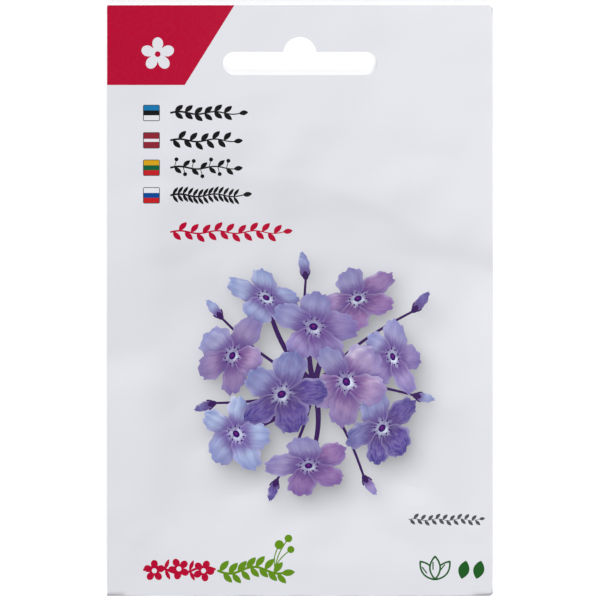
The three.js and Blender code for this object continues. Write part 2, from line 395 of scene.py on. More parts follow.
tag = {"bottom": 44.7, "cornerX": -23.9, "topX": -13.6, "bleed": 1.0,
       "signX": -29.5, "signY": 51.1, "sign": 3.5, "eye": 0.17}
tagSlant = (tag["topX"] - tag["cornerX"]) / (halfHeight - tag["bottom"])
tagLeft, tagTop = -halfWidth - tag["bleed"], halfHeight + tag["bleed"]
ink(np.array([[tagLeft, tag["bottom"]], [tag["cornerX"], tag["bottom"]],
              [tag["topX"] + tagSlant * tag["bleed"], tagTop], [tagLeft, tagTop]]), "crimson")
ink(rosette(tag["signX"], tag["signY"], tag["sign"]), "bare")
ink(disc(tag["signX"], tag["signY"], tag["eye"] * tag["sign"], 16), "crimson")

# Four small flags, each with a sprig of its own beside it, and a longer sprig below them

flags = {"left": -32.40, "right": -29.21, "half": 1.54, "line": 0.15, "corner": 0.15,
         "rows": [38.92, 33.23, 27.55, 21.82]}
flagStripes = [  # colour, and the shares of the height from the top between which it lies
    [("blue", 0, 1 / 3), ("black", 1 / 3, 2 / 3)],
    [("darkRed", 0, 0.4), ("darkRed", 0.6, 1)],
    [("yellow", 0, 1 / 3), ("green", 1 / 3, 2 / 3), ("red", 2 / 3, 1)],
    [("flagBlue", 1 / 3, 2 / 3), ("red", 2 / 3, 1)],
]
for row, stripes in zip(flags["rows"], flagStripes):
    foot, head, line = row - flags["half"], row + flags["half"], flags["line"]
    ink(block(flags["left"] - line, foot - line, flags["right"] + line, head + line,
              flags["corner"] + line), "frame")
    ink(block(flags["left"], foot, flags["right"], head, flags["corner"]), "bare")
    for colour, *shares in stripes:
        upper, lower = (row + flags["half"] * (1 - 2 * share) for share in shares)
        ink(block(flags["left"], lower, flags["right"], upper), colour)
flagSprigs = {"left": -26.9, "height": 3.9, "stem": 0.42,
              "ends": [(-11.2, "pairs"), (-12.3, "turns"), (-12.3, "berries"), (-10.4, "ferns")]}
for row, (end, kind) in zip(flags["rows"], flagSprigs["ends"]):
    sprig(flagSprigs["left"], end, row, flagSprigs["height"], "black", kind, flagSprigs["stem"])
sprig(-26.9, -2.0, 14.2, 4.1, "crimson", "turns", 0.36)

# Foot of the front: at the right a fine sprig, a sprout and two seeds, at the left a garland

sprig(22.5, 38.1, -45.4, 2.5, "grey", "turns", 0.16)
garland = {
    "y": -55.9, "left": -32.5, "right": -2.8, "greenFrom": -17.4, "sway": 0.7, "wave": 10.2,
    "stalk": 0.5, "blossoms": [-30.2, -25.1, -20.0], "radius": 2.25, "eye": 0.52, "turn": 24,
    "buds": [(-4.3, -50.6, 0.95), (-2.4, -49.3, 0.8), (-1.9, -51.6, 0.75)],  # x, y, radius
    "budStalk": 0.24, "budsFrom": (-5.2, 0.4), "budsBow": 0.5,
    "slimAt": [-27.65, -22.55], "wideAt": np.linspace(-16.6, -5.4, 7),
    # two leaves at each place: shift, angle, length, width, bend; and one at the tip, by its x
    "slim": [(-0.4, 68, 2.4, 0.8), (-0.3, -64, 2.3, 0.8)],
    "wide": [(0, 58, 2.9, 1.35, -0.12), (0.75, -56, 2.7, 1.25, 0.12)],
    "tip": (-3.9, 6, 2.9, 1.4),
}


def vineY(at):  # the garland's stalk sways by a sine
    turn = 2 * np.pi * (at - garland["left"]) / garland["wave"]
    return garland["y"] + garland["sway"] * np.sin(turn)


vine = np.linspace(garland["left"], garland["right"], 90)
green = vine >= garland["greenFrom"]
for part, colour in ((vine[~green], "crimson"), (vine[green], "leaf")):
    ink(ribbon(np.column_stack([part, vineY(part)]), garland["stalk"]), colour)
for x in garland["slimAt"]:
    for shift, *form in garland["slim"]:
        ink(leaf(x + shift, vineY(x), *form), "crimson")
for i, x in enumerate(garland["blossoms"]):
    y = garland["y"] + (0.3 if i % 2 else -0.1)
    ink(rosette(x, y, garland["radius"], turn=90 + garland["turn"] * i), "crimson")
    ink(disc(x, y, garland["eye"], 14), "bare")
for x in garland["wideAt"]:
    for shift, *form in garland["wide"]:
        ink(leaf(x + shift, vineY(x + shift), *form), "leaf")
x, *form = garland["tip"]
ink(leaf(x, vineY(x), *form), "leaf")
for x, y, radius in garland["buds"]:
    stalk = np.linspace(np.add(garland["budsFrom"], (0, garland["y"])), (x, y), 8)
    stalk[:, 0] -= garland["budsBow"] * np.sin(np.linspace(0, np.pi, 8))
    ink(ribbon(stalk, garland["budStalk"]), "leaf")
    ink(disc(x, y, radius), "leaf")

sprout = {"place": np.array([28.0, -58.0]), "length": 5.2, "width": 2.5, "line": 0.36,
          "vein": 0.26, "veinFrom": 0.42, "veinTo": 0.74, "veinOff": 0.42, "angles": (128, 52, 90),
          "seeds": [33.5, 36.6], "seedY": -57.7, "seed": (76, 3.9, 2.3)}  # angle, length, width
for angle in sprout["angles"]:  # leaves in outline, each with a short vein
    out = aim(angle)
    inset = sprout["line"] * 1.5
    ink(leaf(*sprout["place"], angle, sprout["length"], sprout["width"], count=17), "darkGreen")
    ink(leaf(*(sprout["place"] + inset * out), angle, sprout["length"] - 2 * inset,
             sprout["width"] - 2 * sprout["line"], count=17), "bare")
    along = np.linspace(sprout["veinFrom"], sprout["veinTo"], 6)[:, None] * sprout["length"] * out
    beside = sprout["place"] + sprout["veinOff"] * np.array([-out[1], out[0]])
    ink(ribbon(along + beside, sprout["vein"]), "darkGreen")
for x in sprout["seeds"]:
    ink(leaf(x, sprout["seedY"], *sprout["seed"], count=15), "darkGreen")

# The flower picture: blossoms of five petals each in a loose posy, with buds and dark stems

picture = {
    "left": -22.5, "right": 28.0, "bottom": -43.0, "top": 10.5,
    "heart": (3.0, -17.5),  # where the stems meet
    "shadowShift": (1.9, -2.4), "shadowWide": 2.3, "shadowDeep": 0.5,
    "contactWide": 0.7, "contactDeep": 0.12,
    "light": (-0.55, 0.83),
}
petalTints = {  # by the throat, in the middle, at the edge
    "iceBlue": (rgb(104, 82, 156), rgb(164, 180, 214), rgb(134, 150, 198)),
    "lilac": (rgb(96, 52, 132), rgb(158, 142, 190), rgb(128, 116, 178)),
    "mauve": (rgb(92, 36, 108), rgb(152, 112, 162), rgb(132, 92, 156)),
    "violet": (rgb(50, 22, 98), rgb(84, 66, 144), rgb(54, 44, 124)),
    "rose": (rgb(104, 46, 122), rgb(168, 140, 178), rgb(138, 118, 172)),
}
# centre x, y, petal length, turn, squash, squash angle, tint, with later ones on top
blossoms = [
    (-7.0, 0.6, 8.1, 20, 0.66, 60, "iceBlue"),
    (12.0, 0.4, 8.5, 50, 0.72, 110, "mauve"),
    (19.2, -11.6, 8.3, 5, 0.66, 20, "lilac"),
    (-14.0, -11.4, 8.6, 62, 0.76, 150, "rose"),
    (-13.2, -27.6, 8.3, 75, 0.80, 40, "iceBlue"),
    (2.8, -5.4, 9.3, 12, 0.84, 80, "lilac"),
    (17.0, -26.4, 8.8, 40, 0.76, 140, "violet"),
    (1.8, -34.2, 8.5, 30, 0.70, 95, "mauve"),
    (9.6, -16.8, 9.4, 55, 0.86, 30, "rose"),
    (-3.8, -19.4, 9.6, 8, 0.82, 120, "violet"),
]
buds = [  # x, y, angle, length, width, tint
    (1.2, 4.6, 96, 5.6, 2.3, "violet"),
    (-16.2, -3.6, 128, 4.9, 2.0, "iceBlue"),
    (23.4, -2.2, 48, 5.2, 2.1, "violet"),
    (-17.6, -21.2, 196, 4.6, 1.9, "violet"),
    (23.6, -19.6, -14, 4.4, 1.9, "iceBlue"),
    (-4.8, -37.2, 248, 4.6, 2.0, "violet"),
    (13.2, -36.4, -58, 4.6, 1.9, "lilac"),
]
petal = {
    "count": 5, "width": 0.37, "peak": 0.6, "body": 1.2, "ripple": 0.07, "bend": 0.14, "fray": 0.035,
    "tones": (0.58, 0.96),
    "pale": 0.65,  # how far petals that reach to the light turn icy blue
    # least and greatest draw for a petal's length, turn, width, bend, peak and body, and its waves
    "spans": [(0.92, 1.08), (-7, 7), (0.9, 1.1), (-1, 1), (-0.05, 0.05), (0.8, 1.25)],
    "waveSpan": (14, 22),
    "dotsAt": 0.21, "dotSpread": 0.28, "dot": 0.2, "throat": 0.1, "spot": 0.036,
}
blossomStem = (0.08, 1.25)  # bow and width
bud = {"stem": (0.05, 0.75), "sepalSlant": 34, "sepal": (2.0, 0.7), "cupBack": 0.5, "cup": (2.1, 1.35),
       "form": (0.04, 0.5, 1.5)}  # bend, peak and body of its petal
draw = np.random.default_rng(42)


def petalHalf(s, p):  # half width: beta-shaped profile with its peak at p["peak"], times a ripple
    peak, body = p["peak"], p["body"]
    s = np.clip(s, 1e-4, 1 - 1e-4)
    profile = (s / peak) ** (peak * body) * ((1 - s) / (1 - peak)) ** ((1 - peak) * body)
    return p["width"] * profile * (1 + p["ripple"] * np.sin(p["waves"] * s + p["start"]))


def petalOutline(p, count=30):
    # Both edges of the petal, its bent midrib plus and minus half width. Waves that grow towards
    # the tip fray the edges.
    s = 0.5 - 0.5 * np.cos(np.linspace(0, np.pi, count))
    half = petalHalf(s, p) * np.sin(np.clip(s * 40, 0, np.pi / 2))
    half[[0, -1]] = 0
    along, across = lens(s, p["bend"] * s**2, half)
    turn = np.linspace(0, 2 * np.pi, len(along), endpoint=False)
    frays = np.sin(9 * turn + p["start"]) + 0.7 * np.sin(17 * turn + p["waves"])
    local = np.column_stack([along, across]) * (1 + p["fray"] * along**2 * frays)[:, None]
    return (local * p["length"]) @ p["spin"] @ p["lean"] + p["centre"]


def petalPlace(p, points):  # the same map backwards, but for the fray: how far out, how far across
    local = (points - p["centre"]) @ np.linalg.inv(p["spin"] @ p["lean"]) / p["length"]
    s = local[:, 0]
    return s, (local[:, 1] - p["bend"] * s**2) / petalHalf(s, p)


def addPetal(centre, length, angle, lean, tint, width, bend, peak, body):
    pale = petal["pale"] * smooth(np.dot(picture["light"], aim(angle)), 1.0)
    p = {**petal, "centre": np.array(centre), "length": length, "spin": spin(angle), "lean": lean,
         "width": width, "bend": bend, "peak": peak, "body": body,
         "waves": draw.uniform(*petal["waveSpan"]), "start": draw.uniform(0, 6),
         "tint": petalTints[tint] + pale * np.subtract(petalTints["iceBlue"], petalTints[tint]),
         "tone": draw.uniform(*petal["tones"]), "seed": int(draw.integers(1000))}
    prints.append({"outline": petalOutline(p), "ink": "petal", "colour": inks["lilac"], "petal": p})


def addStem(x, y, bow, width):  # from the posy's heart, bowed to one side by a sine
    t = np.linspace(0, 1, 16)
    x0, y0 = picture["heart"]
    side = np.array([y0 - y, x - x0]) * bow
    path = np.outer(1 - t, (x0, y0)) + np.outer(t, (x, y)) + np.outer(np.sin(np.pi * t), side)
    ink(ribbon(path, width * (1 - 0.35 * t)), "stem")


pictureStart = len(prints)
for x, y, angle, length, width, tint in buds:
    addStem(x, y, *bud["stem"])
    for spread in (-bud["sepalSlant"], bud["sepalSlant"]):
        ink(leaf(x, y, angle + spread, *bud["sepal"]), "stem")
    addPetal((x, y), length, angle, np.eye(2), tint, width / length / 2, *bud["form"])
    ink(leaf(*((x, y) - bud["cupBack"] * aim(angle)), angle, *bud["cup"]), "stem")
for x, y, length, turn, squash, squashAngle, tint in blossoms:
    addStem(x, y, *blossomStem)
    lean = spin(squashAngle).T @ np.diag([squash, 1.0]) @ spin(squashAngle)  # shrinks one direction
    angles = [turn + 360 / petal["count"] * i for i in range(petal["count"])]
    for middle in angles:
        grow, off, width, bend, peak, body = (draw.uniform(*span) for span in petal["spans"])
        addPetal((x, y), length * grow, middle + off, lean, tint, petal["width"] * width,
                 petal["bend"] * bend, petal["peak"] + peak, petal["body"] * body)
    for angle in np.radians(angles):  # dark dots on the pale eye, and the throat itself
        for off in (-petal["dotSpread"], petal["dotSpread"]):
            dot = arc(0, 0, petal["dotsAt"] * length, angle + off)[0] @ lean
            ink(disc(x + dot[0], y + dot[1], petal["dot"], 8), "throat")
    ink(disc(0, 0, petal["throat"] * length, 14) @ lean + (x, y), "throat")
    ink(disc(0, 0, petal["spot"] * length, 8) @ lean + (x - 0.05, y + 0.1), "spot")
pictureEnd = len(prints)
print(f"print drawn: {len(prints)} shapes")

# Back of the packet, seen from behind: rows of sprigs, four signs, a bare calendar and a band

calendar = {"left": -30.0, "top": -29.0, "cell": 5.0, "line": 0.16,
            "rows": [("leaf", (1, 2, 3)), ("lilac", (5, 6, 7, 8, 9))]}  # colour, filled months
for row, (colour, filled) in enumerate(calendar["rows"]):
    for month in range(12):
        x0, y1 = calendar["left"] + month * calendar["cell"], calendar["top"] - row * calendar["cell"]
        x1, y0, line = x0 + calendar["cell"], y1 - calendar["cell"], calendar["line"]
        fill = colour if month in filled else "bare"
        ink(block(x0, y0, x1, y1), "hairline", True)
        ink(block(x0 + line, y0 + line, x1 - line, y1 - line), fill, True)
signs = {
    "y": -18.5, "line": 0.5,
    "sun": {"x": -24.0, "radius": 2.1, "rays": (2.7, 3.8)},
    "drop": {"x": -8.2, "down": 3.4, "length": 7.4, "width": 4.4, "spread": 1.25, "taper": 0.09},
    "seedling": {"x": 8.0, "leaf": (4.2, 2.2), "leafDown": 0.4, "top": 0.2, "foot": 3.2, "ground": 3.6},
    "blossom": {"x": 24.0, "radius": 3.6, "eye": 0.8},
}
y, line = signs["y"], signs["line"]
sign = signs["sun"]
ink(disc(sign["x"], y, sign["radius"], 28), "yellow", True)
for turn in range(0, 360, 45):
    ink(ribbon([np.add((sign["x"], y), far * aim(turn)) for far in sign["rays"]], line), "yellow", True)
sign = signs["drop"]
drop = leaf(sign["x"], y - sign["down"], 90, sign["length"], sign["width"], count=21)
spread = sign["spread"] - sign["taper"] * (drop[:, 1] - y + sign["down"])  # wider at its foot
drop[:, 0] = sign["x"] + (drop[:, 0] - sign["x"]) * spread
ink(drop, "blue", True)
sign = signs["seedling"]
x, foot = sign["x"], y - sign["foot"]
for angle in (52, 128):
    ink(leaf(x, y - sign["leafDown"], angle, *sign["leaf"]), "leaf", True)
ink(ribbon([(x, foot), (x, y - sign["top"])], line), "leaf", True)
ink(block(x - sign["ground"], foot - line, x + sign["ground"], foot), "leaf", True)
sign = signs["blossom"]
ink(rosette(sign["x"], y, sign["radius"]), "lilac", True)
ink(disc(sign["x"], y, sign["eye"], 14), "bare", True)
backRows = {"left": -30.0, "right": 30.0, "title": 27.0, "titleHeight": 4.2, "titleStem": 0.36,
            "top": 19.5, "gap": 5.2, "height": 2.4, "stem": 0.16, "ends": (30.0, 30.0, 18.0, 30.0, 9.0),
            "band": (-34.0, -56.6, 34.0, -54.6)}
left = backRows["left"]
sprig(left, backRows["right"], backRows["title"], backRows["titleHeight"], "crimson", "turns",
      backRows["titleStem"], True)
for row, end in enumerate(backRows["ends"]):
    sprig(left, end, backRows["top"] - backRows["gap"] * row, backRows["height"], "grey",
          ("turns", "pairs")[row % 2], backRows["stem"], True)
ink(block(*backRows["band"]), "crimson", True)

# Flat blank: the outline of both walls and the fold between them, and the slot in each wall

def blankOutline():  # square corners at the two glued ends, worn round where the fold is
    r = paper["foldCorner"]
    turn = np.linspace(0, np.pi / 2, 7)
    # the cut edge dips by r - sqrt(r² - d²), with d from where the corner starts, and round the
    # fold by foldDip times what it dips at the fold's centre
    at = halfWidth - r + r * np.sin(turn)
    dip = (r - r * np.cos(turn))[at < foldCentre]
    at = at[at < foldCentre]
    worst = r - np.sqrt(r**2 - (foldCentre - halfWidth + r) ** 2)
    fold = foldCentre + foldLength * np.array([0, 0.5, 1])
    right = np.concatenate([at, fold, backShift - at[::-1]])
    down = np.concatenate([dip, [worst, paper["foldDip"] * worst, worst], dip[::-1]])
    upper = np.vstack([[-halfWidth, halfHeight], np.column_stack([right, halfHeight - down]),
                       [backShift + halfWidth, halfHeight]])
    return np.vstack([upper, upper[::-1] * (1, -1)])[::-1]


def slotOutline(shiftX, shiftY):  # long slot with round ends, and a round notch above its middle
    half, radius = slot["width"] / 2, slot["notchRadius"]
    end = slot["length"] / 2 - half
    start = np.arcsin((slot["y"] + half - slot["notchY"]) / radius)
    right = np.linspace(-np.pi / 2, np.pi / 2, 17)
    notch = np.linspace(start, np.pi - start, 25)
    return np.vstack([arc(end, slot["y"], half, right), arc(0, slot["notchY"], radius, notch),
                      arc(-end, slot["y"], -half, right)]) + (shiftX, shiftY)


def lattice(x0, x1, y0, y1, pitch):  # rows of points, every other row shifted by half a pitch
    rows = np.arange(y0 + pitch / 2, y1, pitch * 0.87)
    columns = np.arange(x0 + pitch / 2, x1, pitch)
    x = columns[None, :] + (np.arange(len(rows)) % 2)[:, None] * pitch / 2
    points = np.column_stack([x.ravel(), np.repeat(rows, len(columns))])
    return points[points[:, 0] < x1]


grid = {  # pitches in millimetres
    "front": 1.0, "picture": 0.5, "back": 1.5, "lip": 0.3, "fold": 0.9, "edge": 0.6, "print": 1.0,
    "foldColumns": 7, "inset": 0.25, "lipInset": (0.1, 0.05), "lipBand": 1.4, "clear": 0.3,
}


def fillPoints(outlines):
    # lattices over both walls, finer under the picture and by the open lips, and rows round the fold
    inset, foldEnd, lipTop = grid["inset"], foldCentre + foldLength, -halfHeight + grid["lipBand"]
    front = lattice(-halfWidth + inset, foldCentre - inset, lipTop, halfHeight - inset, grid["front"])
    window = [picture[side] for side in ("left", "right", "bottom", "top")]
    x, y = front.T
    held = (x > window[0]) & (x < window[1]) & (y > window[2]) & (y < window[3])
    side, foot = grid["lipInset"]
    lips = [lattice(max(x0, -halfWidth + side), min(x1, foldCentre - side), -halfHeight + foot, lipTop,
                    grid["lip"]) for x0, x1, _ in relief["lips"]]
    back = lattice(foldEnd + inset, backShift + halfWidth - inset,
                   -halfHeight + inset, halfHeight - inset, grid["back"])
    across = foldCentre + foldLength * np.linspace(0, 1, grid["foldColumns"])
    up = np.arange(-halfHeight + 1.1, halfHeight - 1.0, grid["fold"])
    fold = np.column_stack([np.tile(across, len(up)), np.repeat(up, len(across))])
    points = np.vstack([front[~held], lattice(*window, grid["picture"]), *lips, back])
    # leave out a point that lies too close to a drawn corner, which would make a sliver
    cells = [np.round(p / grid["clear"]).astype(int) @ (100003, 1) for p in (points, np.vstack(outlines))]
    return np.vstack([points[~np.isin(*cells)], fold])


def cutOut(loops, extra, last):
    # Cuts the first loop's inside into triangles along every loop and through the extra points.
    # The loops up to number last are shapes on it, and those after it are holes. Gives the points,
    # the triangles, and which loop tops each one.
    points = np.vstack(loops + [extra])
    ends = np.cumsum([len(loop) for loop in loops])
    rings = [list(range(end - len(loop), end)) for end, loop in zip(ends, loops)]
    corners = [Vector(point) for point in points.tolist()]
    verts, _, cut, _, _, owners = delaunay_2d_cdt(corners, [], rings, 1, 1e-5, True)
    tops = np.array([max(o) if o and min(o) == 0 and max(o) <= last else -1 for o in owners])
    used, kept = np.unique(np.array(cut)[tops >= 0], return_inverse=True)
    return np.array([v[:] for v in verts])[used], kept.reshape(-1, 3), tops[tops >= 0]


slots = [slotOutline(0, 0), slotOutline(backShift, paper["slipUp"])]
edge, *slots = [stepped(outline, grid["edge"]) for outline in [blankOutline()] + slots]
shapes = [stepped(p["outline"], grid["print"]) for p in prints]
outlines = [turnedLeft(outline) for outline in [edge] + shapes + slots]
flat, faces, top = cutOut(outlines, fillPoints(outlines), len(prints))
top = top - 1  # the index of the shape on top, or -1 for the bare blank
print(f"blank cut into {len(faces)} triangles")

# Printed shade: the soft grey shadow round the picture, and each petal's shade on those below it

shading = {
    "pitch": 0.25, "margin": 9.0,  # of the grid that spreads the shadows
    "cast": 0.8, "castWide": 0.55, "castFar": 0.45,  # a petal's shade on those below it
    "across": 0.24, "along": 0.26,  # how the light falls off over one petal
    "ribs": 0.11, "ribsFrom": 0.2, "ribsGrowth": 0.5, "ribCount": 3,
    "midrib": 0.16, "midribWide": 0.16, "midribEnd": 0.85, "midribFade": 0.5,
    "neck": 0.3, "neckAt": 0.3, "neckWide": 0.14, "clouds": 0.08, "cloudLength": 2.6,
    # start and width of the tints' edges, along or across a petal
    "body": (0.22, 0.42), "tip": (0.55, 0.5), "sides": (0.3, 0.8), "sidesFrom": (0.3, 0.3),
    "sidesOff": 0.15, "rim": 0.6,
}


def shadeAxis(low, high):  # grid places from beyond one side of the picture to beyond the other
    margin = shading["margin"]
    return np.arange(picture[low] - margin, picture[high] + margin, shading["pitch"])


gridX, gridY = shadeAxis("left", "right"), shadeAxis("bottom", "top")


def stamp(outline):  # 1 where a grid point lies inside the outline, by the even-odd rule
    mask = np.zeros((len(gridY), len(gridX)), bool)
    x0, y0 = outline.T
    columns = np.flatnonzero((gridX > x0.min()) & (gridX < x0.max()))
    rows = np.flatnonzero((gridY > y0.min()) & (gridY < y0.max()))
    if len(columns) and len(rows):
        x, y = gridX[columns][None, :, None], gridY[rows][:, None, None]
        x1, y1 = np.roll(x0, -1), np.roll(y0, -1)
        spans = (y0 > y) != (y1 > y)
        steep = np.where(y1 == y0, 1, y1 - y0)
        mask[np.ix_(rows, columns)] = (spans & (x < x0 + (y - y0) * (x1 - x0) / steep)).sum(2) % 2 == 1
    return mask


def blur(mask, sigma):  # spread by a bell curve of this width, as a product of frequencies
    wide = sigma / shading["pitch"]
    fy = np.fft.fftfreq(mask.shape[0])[:, None]
    fx = np.fft.rfftfreq(mask.shape[1])[None, :]
    spread = np.exp(-2 * (np.pi * wide) ** 2 * (fx**2 + fy**2))
    return np.fft.irfft2(np.fft.rfft2(mask) * spread, mask.shape)


def sample(field, points):  # the field at points off its grid, straight lines between grid values
    x = np.clip((points[:, 0] - gridX[0]) / shading["pitch"], 0, len(gridX) - 1.001)
    y = np.clip((points[:, 1] - gridY[0]) / shading["pitch"], 0, len(gridY) - 1.001)
    i, j = x.astype(int), y.astype(int)
    u, v = x - i, y - j
    lower = field[j, i] * (1 - u) + field[j, i + 1] * u
    return lower * (1 - v) + (field[j + 1, i] * (1 - u) + field[j + 1, i + 1] * u) * v


# s runs along a petal, from 0 at the throat to 1 at the tip, and t across it, from -1 to 1

def petalShade(p, here, s, t):
    # light over the petal, ribs and a midrib along it, a dark ring by its throat, and soft clouds
    out, side = (row @ p["lean"] for row in p["spin"])
    shade = 1 + shading["across"] * t * side.dot(light) + shading["along"] * (s - 0.5) * out.dot(light)
    ribs = shading["ribs"] * np.cos(shading["ribCount"] * np.pi * t + p["start"])
    shade *= 1 + ribs * smooth(s - shading["ribsFrom"], shading["ribsGrowth"])
    midrib = shading["midrib"] * bell(t, shading["midribWide"])
    shade *= 1 - midrib * smooth(shading["midribEnd"] - s, shading["midribFade"])
    shade *= 1 - shading["neck"] * bell(s - shading["neckAt"], shading["neckWide"])
    clouds = waves(here[:, 0], here[:, 1], shading["cloudLength"], p["seed"])
    return shade * p["tone"] * (1 + shading["clouds"] * clouds)


def petalTint(p, s, t):  # from the throat's tint to the middle's, and the edge's at tip and sides
    throat, middle, edge = p["tint"]
    past = lambda at, start, width: smooth(at - start, width)
    outwards = past(s, *shading["body"])[:, None]
    sides = past(np.abs(t - shading["sidesOff"]), *shading["sides"]) * past(s, *shading["sidesFrom"])
    rim = np.clip(past(s, *shading["tip"]) + shading["rim"] * sides, 0, 1)[:, None]
    return throat + (middle - throat) * outwards + (edge - middle) * rim * outwards


cornerPlaces = flat[faces].reshape(-1, 2)
cornerTop = np.repeat(top, 3)
cornerInk = np.vstack([p["colour"] for p in prints] + [inks["bare"]])[cornerTop]
cornerPetal = np.zeros((len(cornerTop), 2))
cornerShade = np.ones(len(cornerTop))
light = np.array(picture["light"]) / np.hypot(*picture["light"])
cover = np.zeros((len(gridY), len(gridX)))
for index in reversed(range(pictureStart, pictureEnd)):
    corners = cornerTop == index
    here = cornerPlaces[corners]
    p = prints[index].get("petal")
    if len(here):
        covered = sample(blur(cover, shading["castWide"]), here - light * shading["castFar"])
        cornerShade[corners] = 1 - shading["cast"] * np.clip(covered, 0, 1)
        if p:
            s, t = petalPlace(p, here)
            t = np.clip(t, -1, 1)
            cornerShade[corners] *= petalShade(p, here, s, t)
            cornerInk[corners] = petalTint(p, s, t)
            cornerPetal[corners] = np.column_stack([s, t])
    cover = np.maximum(cover, stamp(prints[index]["outline"]))
inksAt = np.array([p["ink"] for p in prints] + ["bare"])
onPaper = inksAt[cornerTop] == "bare"
nearby = cornerPlaces[onPaper]
onFront = nearby[:, 0] < foldCentre
shift = np.array(picture["shadowShift"])
printed = picture["shadowDeep"] * sample(blur(cover, picture["shadowWide"]), nearby - shift)
printed += picture["contactDeep"] * sample(blur(cover, picture["contactWide"]), nearby - shift / 3)
cornerShade[onPaper] = 1 - np.clip(printed, 0, 0.9) * onFront
# the sheet looks a little darker where the grey foil lies against its inner side
backing = smooth(fullness(*nearby.T, 1.0), 0.5) * onFront
cornerShade[onPaper] *= 1 - paper["showThrough"] * backing
print("picture shaded")

# Materials. In calls of feed and addNode a name with a capital is an input, with _ for a blank, and
# takes a value or another node's socket. Any other name is a setting of the node. Each finish is a
# function that gives the inputs of its shader, and its material has the function's name.

def put(socket, value):
    if hasattr(value, "is_output"):
        socket.id_data.links.new(value, socket)
    else:
        socket.default_value = value


def feed(node, **values):
    for name, value in values.items():
        if name[0].isupper():
            put(node.inputs[name.replace("_", " ")], value)
        else:
            setattr(node, name, value)
    return node


def addNode(tree, kind, **values):
    return feed(tree.nodes.new("ShaderNode" + kind), **values)


def combine(kind, numbers, values, **settings):  # a node in the tree of its values' first socket
    tree = next(value.id_data for value in values if hasattr(value, "is_output"))
    node = addNode(tree, kind, **settings)
    for number, value in zip(numbers, values):
        put(node.inputs[number], value)
    return node.outputs


def maths(operation, *values, clamp=False):
    return combine("Math", (0, 1, 2), values, operation=operation, use_clamp=clamp)[0]


def ramp(value, start, slope):  # slope times the way past the start, held between 0 and 1
    return maths("MULTIPLY", maths("SUBTRACT", value, start), slope, clamp=True)


def blend(kind, *values):  # mixes two colours: factor, first, second
    return combine("Mix", (0, 6, 7), values, data_type="RGBA", blend_type=kind)[2]


def embossed(height, strength, distance):  # a normal that follows a height
    return addNode(height.id_data, "Bump", Strength=strength, Distance=distance, Height=height).outputs[0]


def onPiece(tree, stretch=None):  # object coordinates in metres, drawn out by a stretch if given
    place = addNode(tree, "TexCoord").outputs["Object"]
    return addNode(tree, "Mapping", Vector=place, Scale=stretch).outputs[0] if stretch else place


def noise(tree, scale, detail=3.0, rough=0.5, vector=None):
    place = onPiece(tree) if vector is None else vector
    node = addNode(tree, "TexNoise", Vector=place, Scale=scale, Detail=detail, Roughness=rough)
    return node.outputs["Fac"]


def attribute(tree, name, output):
    node = addNode(tree, "Attribute", attribute_type="GEOMETRY", attribute_name=name)
    return node.outputs[output]


def newGroup(name, inputs, *outputs):  # inputs: name to value, a colour by four numbers
    tree = bpy.data.node_groups.new(name, "ShaderNodeTree")
    for socket, value in inputs.items():
        kind = "Float" if isinstance(value, float) else "Color" if len(value) == 4 else "Vector"
        made = tree.interface.new_socket(socket, in_out="INPUT", socket_type="NodeSocket" + kind)
        made.default_value = value
    for socket in outputs:
        kind = "Color" if socket == "Colour" else "Float"
        tree.interface.new_socket(socket, in_out="OUTPUT", socket_type="NodeSocket" + kind)
    return tree, tree.nodes.new("NodeGroupInput").outputs, tree.nodes.new("NodeGroupOutput")


def makeMaterial(finish):
    material = bpy.data.materials.new(finish.__name__)
    material.use_nodes = True
    feed(material.node_tree.nodes["Principled BSDF"], **finish(material.node_tree))
    return material


def makePaperGrain():
    # fibres: fine noise drawn out a little along the sheet; mottle: broad soft clouds
    tree, given, result = newGroup(
        "paperGrain",
        {"Fibre Scale": 2600.0, "Cloud Scale": 55.0, "Tone Change": 0.03, "Base Roughness": 0.45,
         "Roughness Change": 0.1},
        "Height", "Roughness", "Tone",
    )
    fibre = noise(tree, given["Fibre Scale"], 3.0, 0.6, onPiece(tree, (1.0, 0.55, 1.0)))
    offCloud = maths("SUBTRACT", noise(tree, given["Cloud Scale"], 2.0), 0.5)
    both = maths("ADD", offCloud, maths("MULTIPLY", maths("SUBTRACT", fibre, 0.5), 0.6))
    tone = maths("MULTIPLY_ADD", both, given["Tone Change"], 1.0)
    rough = maths("MULTIPLY_ADD", both, given["Roughness Change"], given["Base Roughness"])
    feed(result, Height=fibre, Roughness=rough, Tone=tone)
    return tree


def makeInkLay():
    # ink lies slightly uneven on the sheet: its colour thins by a fine noise
    whole = {"Colour": (1, 1, 1, 1), "Unevenness": 0.015, "Speck Scale": 1500.0}
    tree, given, result = newGroup("inkLay", whole, "Colour")
    speck = maths("SUBTRACT", noise(tree, given["Speck Scale"], 2.0), 0.42, clamp=True)
    thin = maths("MULTIPLY", speck, given["Unevenness"])
    feed(result, Colour=blend("MIX", thin, given["Colour"], (0.8, 0.8, 0.82, 1)))
    return tree


